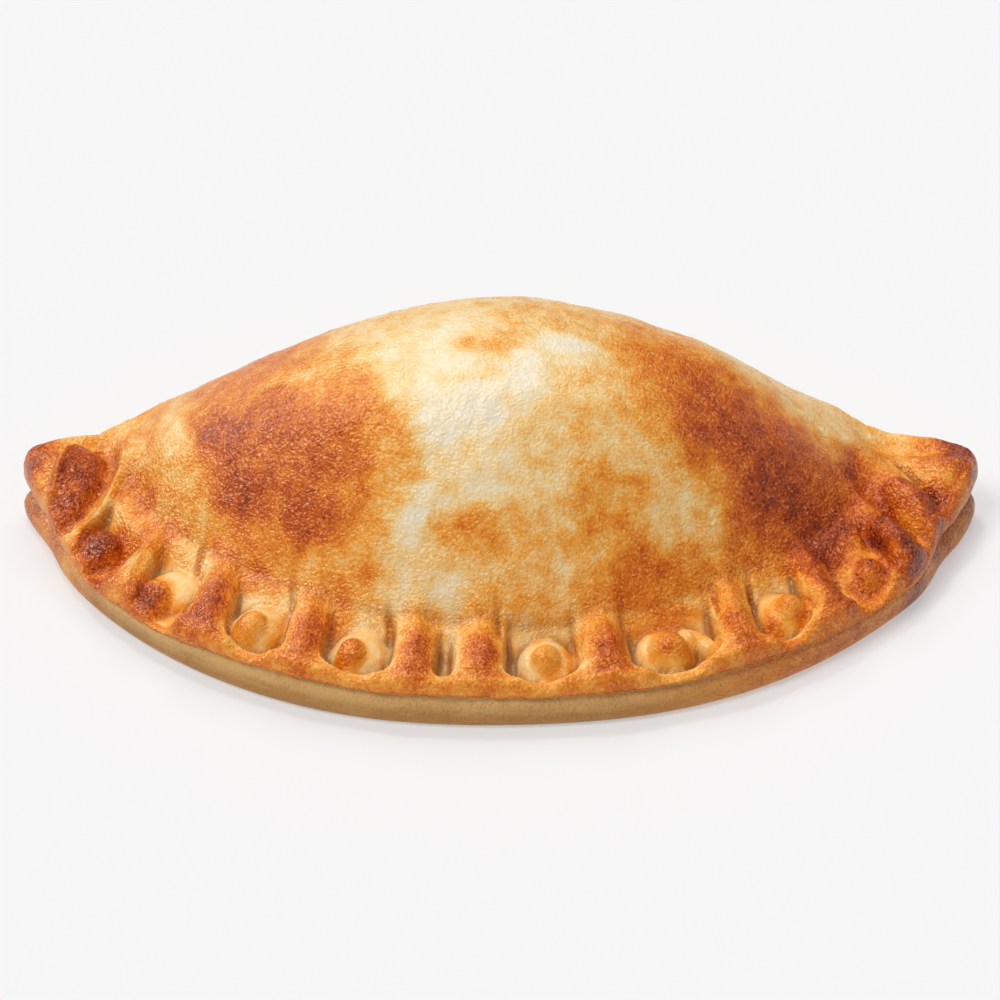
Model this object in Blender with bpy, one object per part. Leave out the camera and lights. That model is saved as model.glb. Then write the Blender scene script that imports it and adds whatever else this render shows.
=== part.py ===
"""An oven-baked empanada: one folded disc of dough round a filling, sealed along its curved front rim.

The body is one solid. X runs from tip to tip, -Y faces the crimped rim, +Y the fold, and the underside
lies on Z = 0. It starts as a UV sphere: the longitude runs round the outline, and the latitude runs from
the middle of the underside, up the two layers of the rim, over the crimping and up the filled dome.
Sizes are in millimetres and angles in degrees; the finished mesh is scaled to metres.
"""

from collections import namedtuple
from math import cos, pi, radians, sin

import bmesh
import bpy
import numpy as np

MILLIMETRE = 0.001

# Driving dimensions
CORNER_SPAN = 147.0
DEPTH = 68.7
CROWN_HEIGHT = 38.8
RIM_RADIUS = 76.0
FRONT_FLATNESS = 1.3

# The two layers of the rim, one on the other, and the round fold at the back
LOWER_LAYER = 5.2
LIP_HEIGHT = 8.6
LAYER_OVERLAP = 0.4
FOOT_ROUNDING = 2.4
LIP_ROUNDING = 1.8
FOLD_ROUNDING = 6.5
LOWER_TOP_TURN = 68
UPPER_FOOT_TURN = 62
FOLD_TOP_TURN = 52
CRIMP_WIDTH = 15.0
BAR_RISE = 1.5
TIP_RISE = 2.7

# The groove between the two layers is shallower beside the tips and deeper on them
SEAM_FILLING = 1.0
TIP_SEAM_DEPTH = 1.0
SEAM_HEIGHT = 0.14

# The dome: the share of the way to the fold where it is highest, and how its slopes curve
DOME_REACH_LEFT = 62.0
DOME_REACH_RIGHT = 59.0
DOME_CREST = 0.57
DOME_END_POWER = 1.45
DOME_FRONT_POWER = 0.62

# Where the rim's circle and the fold's circle have their centres
RIM_CENTRE_Y = RIM_RADIUS - FRONT_FLATNESS - DEPTH / 2
CORNER_Y = RIM_CENTRE_Y - (RIM_RADIUS**2 - (CORNER_SPAN / 2) ** 2) ** 0.5
FOLD_BULGE = DEPTH / 2 - CORNER_Y
FOLD_RADIUS = ((CORNER_SPAN / 2) ** 2 + FOLD_BULGE**2) / (2 * FOLD_BULGE)
FOLD_CENTRE_Y = DEPTH / 2 - FOLD_RADIUS
MIDDLE_Y = 5.0
TIP_SHARPNESS = 30

# Places where the rim lies inside its circle; angles along the rim start at the middle of the front
Flat = namedtuple("Flat", "angle half_width depth")
FLATS = [
    Flat(2, 17, FRONT_FLATNESS),
    Flat(-65, 5, 1.0),
    Flat(54, 5, -0.4),
    Flat(62, 4, 0.8),
]

# Pockets pressed into the rim: how far in from the rim they start and end, and how they slope up to the dome.
# Towards the tips the pockets lean, so that their inner ends lie nearer to the tips.
Pocket = namedtuple("Pocket", "angle width outer inner slope depth")
POCKETS = [
    Pocket(-54.9, 11.0, 1.0, 10.0, 3.5, 3.0),
    Pocket(-43.2, 10.4, 0.8, 12.0, 4.0, 3.0),
    Pocket(-29.9, 10.2, 1.7, 13.0, 6.0, 3.3),
    Pocket(-16.9, 10.8, 1.9, 14.0, 7.0, 3.5),
    Pocket(-6.6, 3.4, 2.4, 12.5, 6.0, 3.0),
    Pocket(4.9, 11.2, 1.9, 14.0, 6.5, 3.5),
    Pocket(20.9, 14.2, 1.6, 14.0, 6.0, 3.4),
    Pocket(35.5, 9.4, 1.6, 13.0, 5.0, 3.3),
    Pocket(48.0, 10.6, 1.2, 11.5, 8.0, 2.8),
    Pocket(57.6, 1.8, 1.8, 10.5, 3.0, 2.1),
    Pocket(65.2, 1.8, 2.6, 12.5, 3.0, 1.8),
]
CORNER_ROUNDING = 2.2
LEAN_PER_DEGREE = 0.011
MOST_LEAN = 0.45

# Rounded lumps that rise from the crimping, and one hollow, placed by their middle, half sizes and turn
Lump = namedtuple("Lump", "angle inset along across turn height")
LUMPS = [
    Lump(-64.8, 6.8, 9.2, 4.1, -41, -2.9),
    Lump(-66.0, 6.0, 7.8, 3.6, -41, 3.0),
    Lump(53.9, 4.2, 6.0, 3.0, 82, 2.3),
    Lump(60.4, 4.8, 6.0, 3.3, 68, 2.5),
]

# The same in the pockets, most of them a low wide mound with a small nub on it. They stand on a floor this
# far below the crimping's top, and the bars between the pockets hide what reaches into them.
KNOB_SINK = 3.2
KNOBS = [
    Lump(-55.8, 4.6, 3.8, 3.7, 0, 3.8),
    Lump(-43.4, 6.6, 4.4, 4.6, 0, 2.2),
    Lump(-44.2, 2.9, 3.4, 3.0, 0, 2.2),
    Lump(-30.1, 6.6, 4.3, 4.4, 0, 3.1),
    Lump(-30.4, 5.1, 2.6, 2.5, 0, 1.6),
    Lump(-17.0, 6.8, 4.6, 4.5, 0, 3.1),
    Lump(-17.5, 4.8, 2.4, 2.3, 0, 1.6),
    Lump(5.5, 6.7, 4.4, 4.4, 0, 3.1),
    Lump(5.4, 5.5, 2.4, 2.2, 0, 1.3),
    Lump(20.0, 6.4, 4.5, 4.4, 0, 2.4),
    Lump(20.2, 5.2, 3.2, 3.0, 0, 2.0),
    Lump(24.5, 6.4, 4.4, 1.8, -64, 2.2),
    Lump(36.0, 6.4, 4.1, 4.3, 0, 3.0),
    Lump(36.9, 5.2, 2.6, 2.5, 0, 1.5),
    Lump(49.4, 6.6, 5.2, 4.2, 66, 2.8),
    Lump(49.2, 3.8, 2.8, 2.5, 0, 1.4),
]

# Narrow creases that run from the pockets' sides up into the dome
Crease = namedtuple("Crease", "angle start end lean depth")
CREASES = [
    Crease(-40.6, 8.0, 15.5, -0.47, 0.9),
    Crease(-25.6, 8.0, 15.5, -0.42, 0.7),
    Crease(-12.9, 8.0, 15.5, -0.29, 0.9),
    Crease(0.4, 7.5, 14.5, -0.10, 0.9),
    Crease(9.4, 3.0, 12.5, 0.15, 0.7),
    Crease(15.0, 3.0, 14.5, 0.20, 0.9),
    Crease(26.8, 6.5, 15.0, 0.36, 0.9),
    Crease(32.0, 1.7, 15.0, 0.44, 0.9),
    Crease(39.2, 2.0, 9.5, 0.20, 1.0),
    Crease(44.8, 2.0, 11.5, 0.44, 0.6),
    Crease(52.2, 1.4, 11.0, 0.35, 1.7),
]
CREASE_HALF_WIDTH = 0.55

# Broad swellings and hollows, placed by their middle, half sizes and the turn of their long side
Swelling = namedtuple("Swelling", "x y long wide turn height")
SWELLINGS = [
    Swelling(-61.0, 20.0, 9.0, 2.0, 14, -1.6),
    Swelling(61.5, 19.0, 7.0, 2.6, -16, -2.0),
    Swelling(-69.0, 15.5, 3.2, 2.6, 0, 0.9),
    Swelling(69.0, 15.5, 3.2, 2.6, 0, 0.9),
    Swelling(-27.0, -4.0, 17.0, 12.0, -20, 0.9),
    Swelling(-8.0, -14.0, 4.0, 13.0, 10, -0.6),
    Swelling(20.0, -8.0, 15.0, 10.0, 20, 0.6),
    Swelling(44.0, 4.0, 12.0, 8.0, 30, 0.7),
    Swelling(4.0, 20.0, 22.0, 8.0, 5, 0.5),
    Swelling(33.0, 13.0, 10.0, 10.0, -20, 2.0),
]

# The mesh
UNDERSIDE_SHARE = 0.10
EDGE_SHARE = 0.20
LONGITUDES = 340
LATITUDES = 100
FRONT_DENSITY = 1.5
TRIANGLES = 11000


def smooth(low, high, value):
    """0 below low, 1 above high and an S-shaped rise between."""
    t = np.clip((value - low) / (high - low), 0, 1)
    return t * t * (3 - 2 * t)


def rim_radius(angle):
    """The rim's radius in the direction of that angle along the rim."""
    radius = RIM_RADIUS
    for flat in FLATS:
        radius = radius - flat.depth * np.exp(-(((angle - flat.angle) / flat.half_width) ** 2))
    return radius


def rim_polar(x, y):
    """The angle along the rim, and how far inside the rim the point lies."""
    angle = np.degrees(np.arctan2(x, RIM_CENTRE_Y - y))
    return angle, rim_radius(angle) - np.hypot(x, RIM_CENTRE_Y - y)


def circle_reach(direction, centre_y, radius):
    """From the middle of the body, how far the circle's line is in that direction."""
    offset = MIDDLE_Y - centre_y
    along = offset * np.sin(direction)
    return -along + np.sqrt(along**2 + radius**2 - offset**2)


def outline(direction):
    """The plan outline, as seen from the middle: the rim's circle and the fold's, rounded where they meet."""
    front = circle_reach(direction, RIM_CENTRE_Y, RIM_RADIUS)
    angle, _ = rim_polar(front * np.cos(direction), MIDDLE_Y + front * np.sin(direction))
    front = front - (RIM_RADIUS - rim_radius(angle))
    back = circle_reach(direction, FOLD_CENTRE_Y, FOLD_RADIUS)
    nearer = np.minimum(front, back)
    blend = (front / nearer) ** -TIP_SHARPNESS + (back / nearer) ** -TIP_SHARPNESS
    reach = nearer * blend ** (-1 / TIP_SHARPNESS)
    return reach * np.cos(direction), MIDDLE_Y + reach * np.sin(direction)


def outline_directions(longitude):
    """Directions from the middle, spaced so that the rim gets more of the longitudes than the fold."""
    direction = np.linspace(-pi, pi, 2001)
    x, y = outline(direction)
    density = 1 + (FRONT_DENSITY - 1) * smooth(25, 5, y)
    steps = np.hypot(np.diff(x), np.diff(y)) * (density[1:] + density[:-1]) / 2
    run = np.concatenate([[0], np.cumsum(steps)])
    return np.interp((longitude + pi) / (2 * pi), run / run[-1], direction)


def slab_top(x, y):
    """The top of the pressed dough: the lip's height at the rim, rising inwards and at the tips."""
    _, inset = rim_polar(x, y)
    rise = 0.16 * np.clip(inset - 2, 0, CRIMP_WIDTH)
    tip = smooth(44, 66, np.abs(x)) * smooth(2, 17, y)
    back = smooth(0.6 * CRIMP_WIDTH, 1.6 * CRIMP_WIDTH, inset)
    return LIP_HEIGHT + rise + TIP_RISE * np.maximum(tip, 0.8 * back)


def dome(x, y):
    """The filling's share of the height. Across, it runs from the crimping's inner edge to the fold."""
    inner = RIM_RADIUS - CRIMP_WIDTH + 2
    front_y = RIM_CENTRE_Y - np.sqrt(np.clip(inner**2 - x**2, 0, None))
    back_y = FOLD_CENTRE_Y + np.sqrt(FOLD_RADIUS**2 - x**2)
    across = np.clip((y - front_y) / np.maximum(back_y - front_y, 1), 0, 1)
    towards = np.clip(across / DOME_CREST, 0, 1)
    front = smooth(0, 0.35, across) ** 0.35 * (1 - (1 - towards) ** 2) ** DOME_FRONT_POWER
    beyond = np.clip((across - DOME_CREST) / (1 - DOME_CREST), 0, 1)
    back = np.sqrt(np.clip(1 - beyond**2, 0, 1))
    reach = np.where(x < 0, DOME_REACH_LEFT, DOME_REACH_RIGHT)
    ends = np.clip(1 - (x / reach) ** 2, 0, 1) ** DOME_END_POWER
    return ends * np.where(across < DOME_CREST, front, back)


def along_rim(angle, inset, feature_angle, lean):
    """The distance along the rim from a feature's middle line, which leans as it runs inwards."""
    return np.radians(angle - feature_angle) * (RIM_RADIUS - inset) - lean * (inset - 6)


def pocket_masks(angle, inset, pocket):
    """1 on the pocket's floor and 0 outside it, and 1 near the pocket and 0 half a bar's width away."""
    lean = np.clip(LEAN_PER_DEGREE * pocket.angle, -MOST_LEAN, MOST_LEAN)
    along = np.abs(along_rim(angle, inset, pocket.angle, lean))
    half = pocket.width / 2
    sides = smooth(half, half - 1.3, along)
    corner = pocket.outer + CORNER_ROUNDING * np.clip(along / half, 0, 1) ** 3
    outer = smooth(corner - 0.6, corner + 0.8, inset)
    inner = smooth(pocket.inner, pocket.inner - pocket.slope, inset)
    return sides * outer * inner, smooth(half + 2.8, half - 0.8, along)


def turned_ellipse(aside, inwards, feature):
    """How far out a place is in a feature's turned ellipse: 0 in its middle and 1 on its edge."""
    turn = radians(feature.turn)
    long_way = (aside * cos(turn) + inwards * sin(turn)) / feature.along
    short_way = (inwards * cos(turn) - aside * sin(turn)) / feature.across
    return np.hypot(long_way, short_way)


def lump_rise(angle, inset, lump):
    """The rise of a rounded lump over the floor of its pocket."""
    out = turned_ellipse(along_rim(angle, inset, lump.angle, 0), inset - lump.inset, lump)
    return lump.height * np.clip(1 - out**2, 0, 1) ** 0.6


def crease_depth(angle, inset, crease):
    along = along_rim(angle, inset, crease.angle, crease.lean)
    ends = smooth(crease.start, crease.start + 3, inset) * smooth(crease.end, crease.end - 4, inset)
    return crease.depth * ends * np.exp(-((along / CREASE_HALF_WIDTH) ** 2))


def swelling_rise(x, y, swelling):
    turn = radians(swelling.turn)
    along = (x - swelling.x) * cos(turn) + (y - swelling.y) * sin(turn)
    aside = (y - swelling.y) * cos(turn) - (x - swelling.x) * sin(turn)
    return swelling.height * np.exp(-((along / swelling.long) ** 2) - (aside / swelling.wide) ** 2)


def crimping(angle, inset):
    """The crimping's parts: pocket depth, how near a pocket is, the rise of lumps and knobs, crease depth."""
    pressed = np.zeros_like(angle)
    near = np.zeros_like(angle)
    for pocket in POCKETS:
        floor, surround = pocket_masks(angle, inset, pocket)
        pressed = np.maximum(pressed, pocket.depth * floor)
        near = np.maximum(near, surround)
    lumps = np.zeros_like(angle)
    for lump in LUMPS:
        lumps = lumps + lump_rise(angle, inset, lump)
    knobs = np.zeros_like(angle)
    for lump in KNOBS:
        knobs = knobs + lump_rise(angle, inset, lump)
    creases = np.zeros_like(angle)
    for crease in CREASES:
        creases = np.maximum(creases, crease_depth(angle, inset, crease))
    return pressed, near, lumps, knobs, creases


def top_height(x, y):
    """The height of the upper surface: slab, dome, swellings and crimping."""
    height = slab_top(x, y) + (CROWN_HEIGHT - LIP_HEIGHT - TIP_RISE) * dome(x, y)
    for swelling in SWELLINGS:
        height = height + swelling_rise(x, y, swelling)
    angle, inset = rim_polar(x, y)
    pressed, near, lumps, knobs, creases = crimping(angle, inset)
    crimped = smooth(0.6, 3.4, inset) * smooth(17, 9, inset) * smooth(24, 14, y)
    pressed_top = height + BAR_RISE * crimped * (1 - near) - pressed - creases
    return np.where(knobs > 0, np.maximum(pressed_top, height - KNOB_SINK + knobs), pressed_top) + lumps


def rim_profile(share):
    """Outward offset and height up the two layers of the rim, for 0 at the foot to 1 on the lip."""
    lower = np.clip(share / 0.5, 0, 1)
    upper = np.clip((share - 0.5) / 0.5, 0, 1)
    lower_turn = np.radians(-90 + (90 + LOWER_TOP_TURN) * lower)
    upper_turn = np.radians(-UPPER_FOOT_TURN + (90 + UPPER_FOOT_TURN) * upper)
    lower_out = -FOOT_ROUNDING * (1 - np.cos(lower_turn) ** 0.75)
    lower_z = LOWER_LAYER / 2 * (1 + np.sin(lower_turn))
    half_lip = (LIP_HEIGHT - LOWER_LAYER + LAYER_OVERLAP) / 2
    upper_out = -LIP_ROUNDING * (1 - np.clip(np.cos(upper_turn), 0, 1) ** 0.8)
    upper_z = LIP_HEIGHT - half_lip * (1 - np.sin(upper_turn))
    return np.where(share < 0.5, lower_out, upper_out), np.where(share < 0.5, lower_z, upper_z)


def fold_profile(share):
    """The same for the fold at the back, which is one round edge; its height is a share of the whole."""
    turn = np.radians(-90 + (90 + FOLD_TOP_TURN) * share)
    return -FOLD_ROUNDING * (1 - np.cos(turn)), (1 + np.sin(turn)) / (1 + sin(radians(FOLD_TOP_TURN)))


def body_surface(direction, under, edge, over):
    """The surface for a direction from the middle and the shares of the way under, up the rim and over the top."""
    rim_x, rim_y = outline(direction)
    ahead_x, ahead_y = outline(direction + 1e-4)
    stride = np.hypot(ahead_x - rim_x, ahead_y - rim_y)
    out_x, out_y = (ahead_y - rim_y) / stride, (rim_x - ahead_x) / stride

    at_fold = smooth(14, 26, rim_y) * smooth(70, 58, np.abs(rim_x))
    rim_out, rim_z = rim_profile(edge)
    filled = SEAM_FILLING * smooth(38, 50, np.abs(rim_x)) * smooth(67, 60, np.abs(rim_x))
    opened = TIP_SEAM_DEPTH * smooth(62, 71, np.abs(rim_x))
    rim_out = rim_out + (filled - opened) * np.exp(-(((edge - 0.5) / SEAM_HEIGHT) ** 2))
    fold_out, fold_z = fold_profile(edge)
    offset = rim_out + at_fold * (fold_out - rim_out)

    start_x, start_y = rim_x + offset * out_x, rim_y + offset * out_y
    inwards = np.where(over > 0, over, 1 - under)
    spine = 0.55 * (1 - inwards**3)
    x = start_x * (1 - inwards + inwards * spine)
    y = start_y * (1 - inwards) + MIDDLE_Y * inwards

    lip_offset = rim_profile(1.0)[0] + at_fold * (fold_profile(1.0)[0] - rim_profile(1.0)[0])
    lip_top = top_height(rim_x + lip_offset * out_x, rim_y + lip_offset * out_y)
    rim_z = rim_z + smooth(0.5, 1.0, edge) * (lip_top - LIP_HEIGHT)
    side_z = rim_z + at_fold * (fold_z * lip_top - rim_z)
    z = np.where(over > 0, top_height(x, y), np.where(under < 1, 0, side_z))
    return x, y, z


def sphere_surface(longitude, latitude):
    """The body's surface over the sphere's longitude and latitude, both in radians."""
    share = latitude / pi + 0.5
    under = np.clip(share / UNDERSIDE_SHARE, 0, 1)
    edge = np.clip((share - UNDERSIDE_SHARE) / EDGE_SHARE, 0, 1)
    over = np.clip((share - UNDERSIDE_SHARE - EDGE_SHARE) / (1 - UNDERSIDE_SHARE - EDGE_SHARE), 0, 1)
    over = np.where(over < 0.5, 0.84 * over, 1.16 * over - 0.16)
    return np.stack(body_surface(outline_directions(longitude), under, edge, over), axis=-1)


def dough_material():
    material = bpy.data.materials.new("baked_dough")
    material.use_nodes = True
    shader = material.node_tree.nodes["Principled BSDF"]
    shader.inputs["Base Color"].default_value = (0.62, 0.33, 0.11, 1)
    shader.inputs["Roughness"].default_value = 0.45
    return material


def make_empanada(collection):
    """The sphere's points moved to the body's surface, with fewer faces where it is smooth."""
    mesh = bpy.data.meshes.new("empanada")
    shape = bmesh.new()
    bmesh.ops.create_uvsphere(shape, u_segments=LONGITUDES, v_segments=LATITUDES, radius=1)
    shape.to_mesh(mesh)
    shape.free()
    points = np.empty(len(mesh.vertices) * 3)
    mesh.vertices.foreach_get("co", points)
    x, y, z = points.reshape(-1, 3).T
    surface = sphere_surface(np.arctan2(y, x), np.arcsin(np.clip(z, -1, 1)))
    mesh.vertices.foreach_set("co", (surface * MILLIMETRE).ravel())
    mesh.shade_smooth()
    mesh.materials.append(dough_material())
    body = bpy.data.objects.new("empanada", mesh)
    collection.objects.link(body)
    fewer = body.modifiers.new("fewer_faces", "DECIMATE")
    fewer.ratio = TRIANGLES / (2 * LONGITUDES * (LATITUDES - 1))


def main():
    for obj in list(bpy.data.objects):
        bpy.data.objects.remove(obj)
    collection = bpy.data.collections.new("empanada")
    bpy.context.scene.collection.children.link(collection)
    make_empanada(collection)


main()
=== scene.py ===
"""The looks of the empanada: a fine mesh of the same form as the solid, baked colours, light and camera."""

from collections import namedtuple
from math import cos, pi, radians, sin

import bpy
import numpy as np
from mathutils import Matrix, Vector, noise


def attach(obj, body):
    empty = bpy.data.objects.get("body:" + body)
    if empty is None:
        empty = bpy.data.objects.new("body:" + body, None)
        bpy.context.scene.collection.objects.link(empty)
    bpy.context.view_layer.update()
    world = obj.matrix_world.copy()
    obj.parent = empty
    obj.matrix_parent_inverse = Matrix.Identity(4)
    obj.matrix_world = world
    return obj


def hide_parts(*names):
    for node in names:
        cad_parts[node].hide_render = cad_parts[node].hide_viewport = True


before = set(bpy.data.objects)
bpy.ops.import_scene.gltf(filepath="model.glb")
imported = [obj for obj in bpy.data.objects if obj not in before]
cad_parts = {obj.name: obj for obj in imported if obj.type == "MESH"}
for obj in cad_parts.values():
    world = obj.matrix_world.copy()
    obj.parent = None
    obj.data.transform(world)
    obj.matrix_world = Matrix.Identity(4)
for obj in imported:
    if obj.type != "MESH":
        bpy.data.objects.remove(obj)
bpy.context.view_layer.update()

MILLIMETRE = 0.001

# The form: the same sizes as the solid's, in millimetres and degrees
CORNER_SPAN = 147.0
DEPTH = 68.7
CROWN_HEIGHT = 38.8
RIM_RADIUS = 76.0
FRONT_FLATNESS = 1.3
LOWER_LAYER = 5.2
LIP_HEIGHT = 8.6
LAYER_OVERLAP = 0.4
FOOT_ROUNDING = 2.4
LIP_ROUNDING = 1.8
FOLD_ROUNDING = 6.5
LOWER_TOP_TURN = 68
UPPER_FOOT_TURN = 62
FOLD_TOP_TURN = 52
CRIMP_WIDTH = 15.0
BAR_RISE = 1.5
TIP_RISE = 2.7
TIP_SEAM_DEPTH = 1.0
SEAM_FILLING = 1.0
SEAM_HEIGHT = 0.14
DOME_REACH_LEFT = 62.0
DOME_REACH_RIGHT = 59.0
DOME_CREST = 0.57
DOME_END_POWER = 1.45
DOME_FRONT_POWER = 0.62
RIM_CENTRE_Y = RIM_RADIUS - FRONT_FLATNESS - DEPTH / 2
CORNER_Y = RIM_CENTRE_Y - (RIM_RADIUS**2 - (CORNER_SPAN / 2) ** 2) ** 0.5
FOLD_BULGE = DEPTH / 2 - CORNER_Y
FOLD_RADIUS = ((CORNER_SPAN / 2) ** 2 + FOLD_BULGE**2) / (2 * FOLD_BULGE)
FOLD_CENTRE_Y = DEPTH / 2 - FOLD_RADIUS
MIDDLE_Y = 5.0
TIP_SHARPNESS = 30

Flat = namedtuple("Flat", "angle half_width depth")
FLATS = [
    Flat(2, 17, FRONT_FLATNESS),
    Flat(-65, 5, 1.0),
    Flat(54, 5, -0.4),
    Flat(62, 4, 0.8),
]

Pocket = namedtuple("Pocket", "angle width outer inner slope depth")
POCKETS = [
    Pocket(-54.9, 11.0, 1.0, 10.0, 3.5, 3.0),
    Pocket(-43.2, 10.4, 0.8, 12.0, 4.0, 3.0),
    Pocket(-29.9, 10.2, 1.7, 13.0, 6.0, 3.3),
    Pocket(-16.9, 10.8, 1.9, 14.0, 7.0, 3.5),
    Pocket(-6.6, 3.4, 2.4, 12.5, 6.0, 3.0),
    Pocket(4.9, 11.2, 1.9, 14.0, 6.5, 3.5),
    Pocket(20.9, 14.2, 1.6, 14.0, 6.0, 3.4),
    Pocket(35.5, 9.4, 1.6, 13.0, 5.0, 3.3),
    Pocket(48.0, 10.6, 1.2, 11.5, 8.0, 2.8),
    Pocket(57.6, 1.8, 1.8, 10.5, 3.0, 2.1),
    Pocket(65.2, 1.8, 2.6, 12.5, 3.0, 1.8),
]
CORNER_ROUNDING = 2.2
LEAN_PER_DEGREE = 0.011
MOST_LEAN = 0.45

Lump = namedtuple("Lump", "angle inset along across turn height")
LUMPS = [
    Lump(-64.8, 6.8, 9.2, 4.1, -41, -2.9),
    Lump(-66.0, 6.0, 7.8, 3.6, -41, 3.0),
    Lump(53.9, 4.2, 6.0, 3.0, 82, 2.3),
    Lump(60.4, 4.8, 6.0, 3.3, 68, 2.5),
]
KNOB_SINK = 3.2
KNOBS = [
    Lump(-55.8, 4.6, 3.8, 3.7, 0, 3.8),
    Lump(-43.4, 6.6, 4.4, 4.6, 0, 2.2),
    Lump(-44.2, 2.9, 3.4, 3.0, 0, 2.2),
    Lump(-30.1, 6.6, 4.3, 4.4, 0, 3.1),
    Lump(-30.4, 5.1, 2.6, 2.5, 0, 1.6),
    Lump(-17.0, 6.8, 4.6, 4.5, 0, 3.1),
    Lump(-17.5, 4.8, 2.4, 2.3, 0, 1.6),
    Lump(5.5, 6.7, 4.4, 4.4, 0, 3.1),
    Lump(5.4, 5.5, 2.4, 2.2, 0, 1.3),
    Lump(20.0, 6.4, 4.5, 4.4, 0, 2.4),
    Lump(20.2, 5.2, 3.2, 3.0, 0, 2.0),
    Lump(24.5, 6.4, 4.4, 1.8, -64, 2.2),
    Lump(36.0, 6.4, 4.1, 4.3, 0, 3.0),
    Lump(36.9, 5.2, 2.6, 2.5, 0, 1.5),
    Lump(49.4, 6.6, 5.2, 4.2, 66, 2.8),
    Lump(49.2, 3.8, 2.8, 2.5, 0, 1.4),
]

Crease = namedtuple("Crease", "angle start end lean depth")
CREASES = [
    Crease(-40.6, 8.0, 15.5, -0.47, 0.9),
    Crease(-25.6, 8.0, 15.5, -0.42, 0.7),
    Crease(-12.9, 8.0, 15.5, -0.29, 0.9),
    Crease(0.4, 7.5, 14.5, -0.10, 0.9),
    Crease(9.4, 3.0, 12.5, 0.15, 0.7),
    Crease(15.0, 3.0, 14.5, 0.20, 0.9),
    Crease(26.8, 6.5, 15.0, 0.36, 0.9),
    Crease(32.0, 1.7, 15.0, 0.44, 0.9),
    Crease(39.2, 2.0, 9.5, 0.20, 1.0),
    Crease(44.8, 2.0, 11.5, 0.44, 0.6),
    Crease(52.2, 1.4, 11.0, 0.35, 1.7),
]
CREASE_HALF_WIDTH = 0.55

Swelling = namedtuple("Swelling", "x y long wide turn height")
SWELLINGS = [
    Swelling(-61.0, 20.0, 9.0, 2.0, 14, -1.6),
    Swelling(61.5, 19.0, 7.0, 2.6, -16, -2.0),
    Swelling(-69.0, 15.5, 3.2, 2.6, 0, 0.9),
    Swelling(69.0, 15.5, 3.2, 2.6, 0, 0.9),
    Swelling(-27.0, -4.0, 17.0, 12.0, -20, 0.9),
    Swelling(-8.0, -14.0, 4.0, 13.0, 10, -0.6),
    Swelling(20.0, -8.0, 15.0, 10.0, 20, 0.6),
    Swelling(44.0, 4.0, 12.0, 8.0, 30, 0.7),
    Swelling(4.0, 20.0, 22.0, 8.0, 5, 0.5),
    Swelling(33.0, 13.0, 10.0, 10.0, -20, 2.0),
]

# The fine mesh: points round the outline, and rings from the foot up the rim and over the top
AROUND = 840
UNDER_RINGS = 4
EDGE_RINGS = 34
CRIMP_RINGS = 44
DOME_RINGS = 34
CRIMP_SHARE = 0.44
FRONT_DENSITY = 1.7

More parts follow.
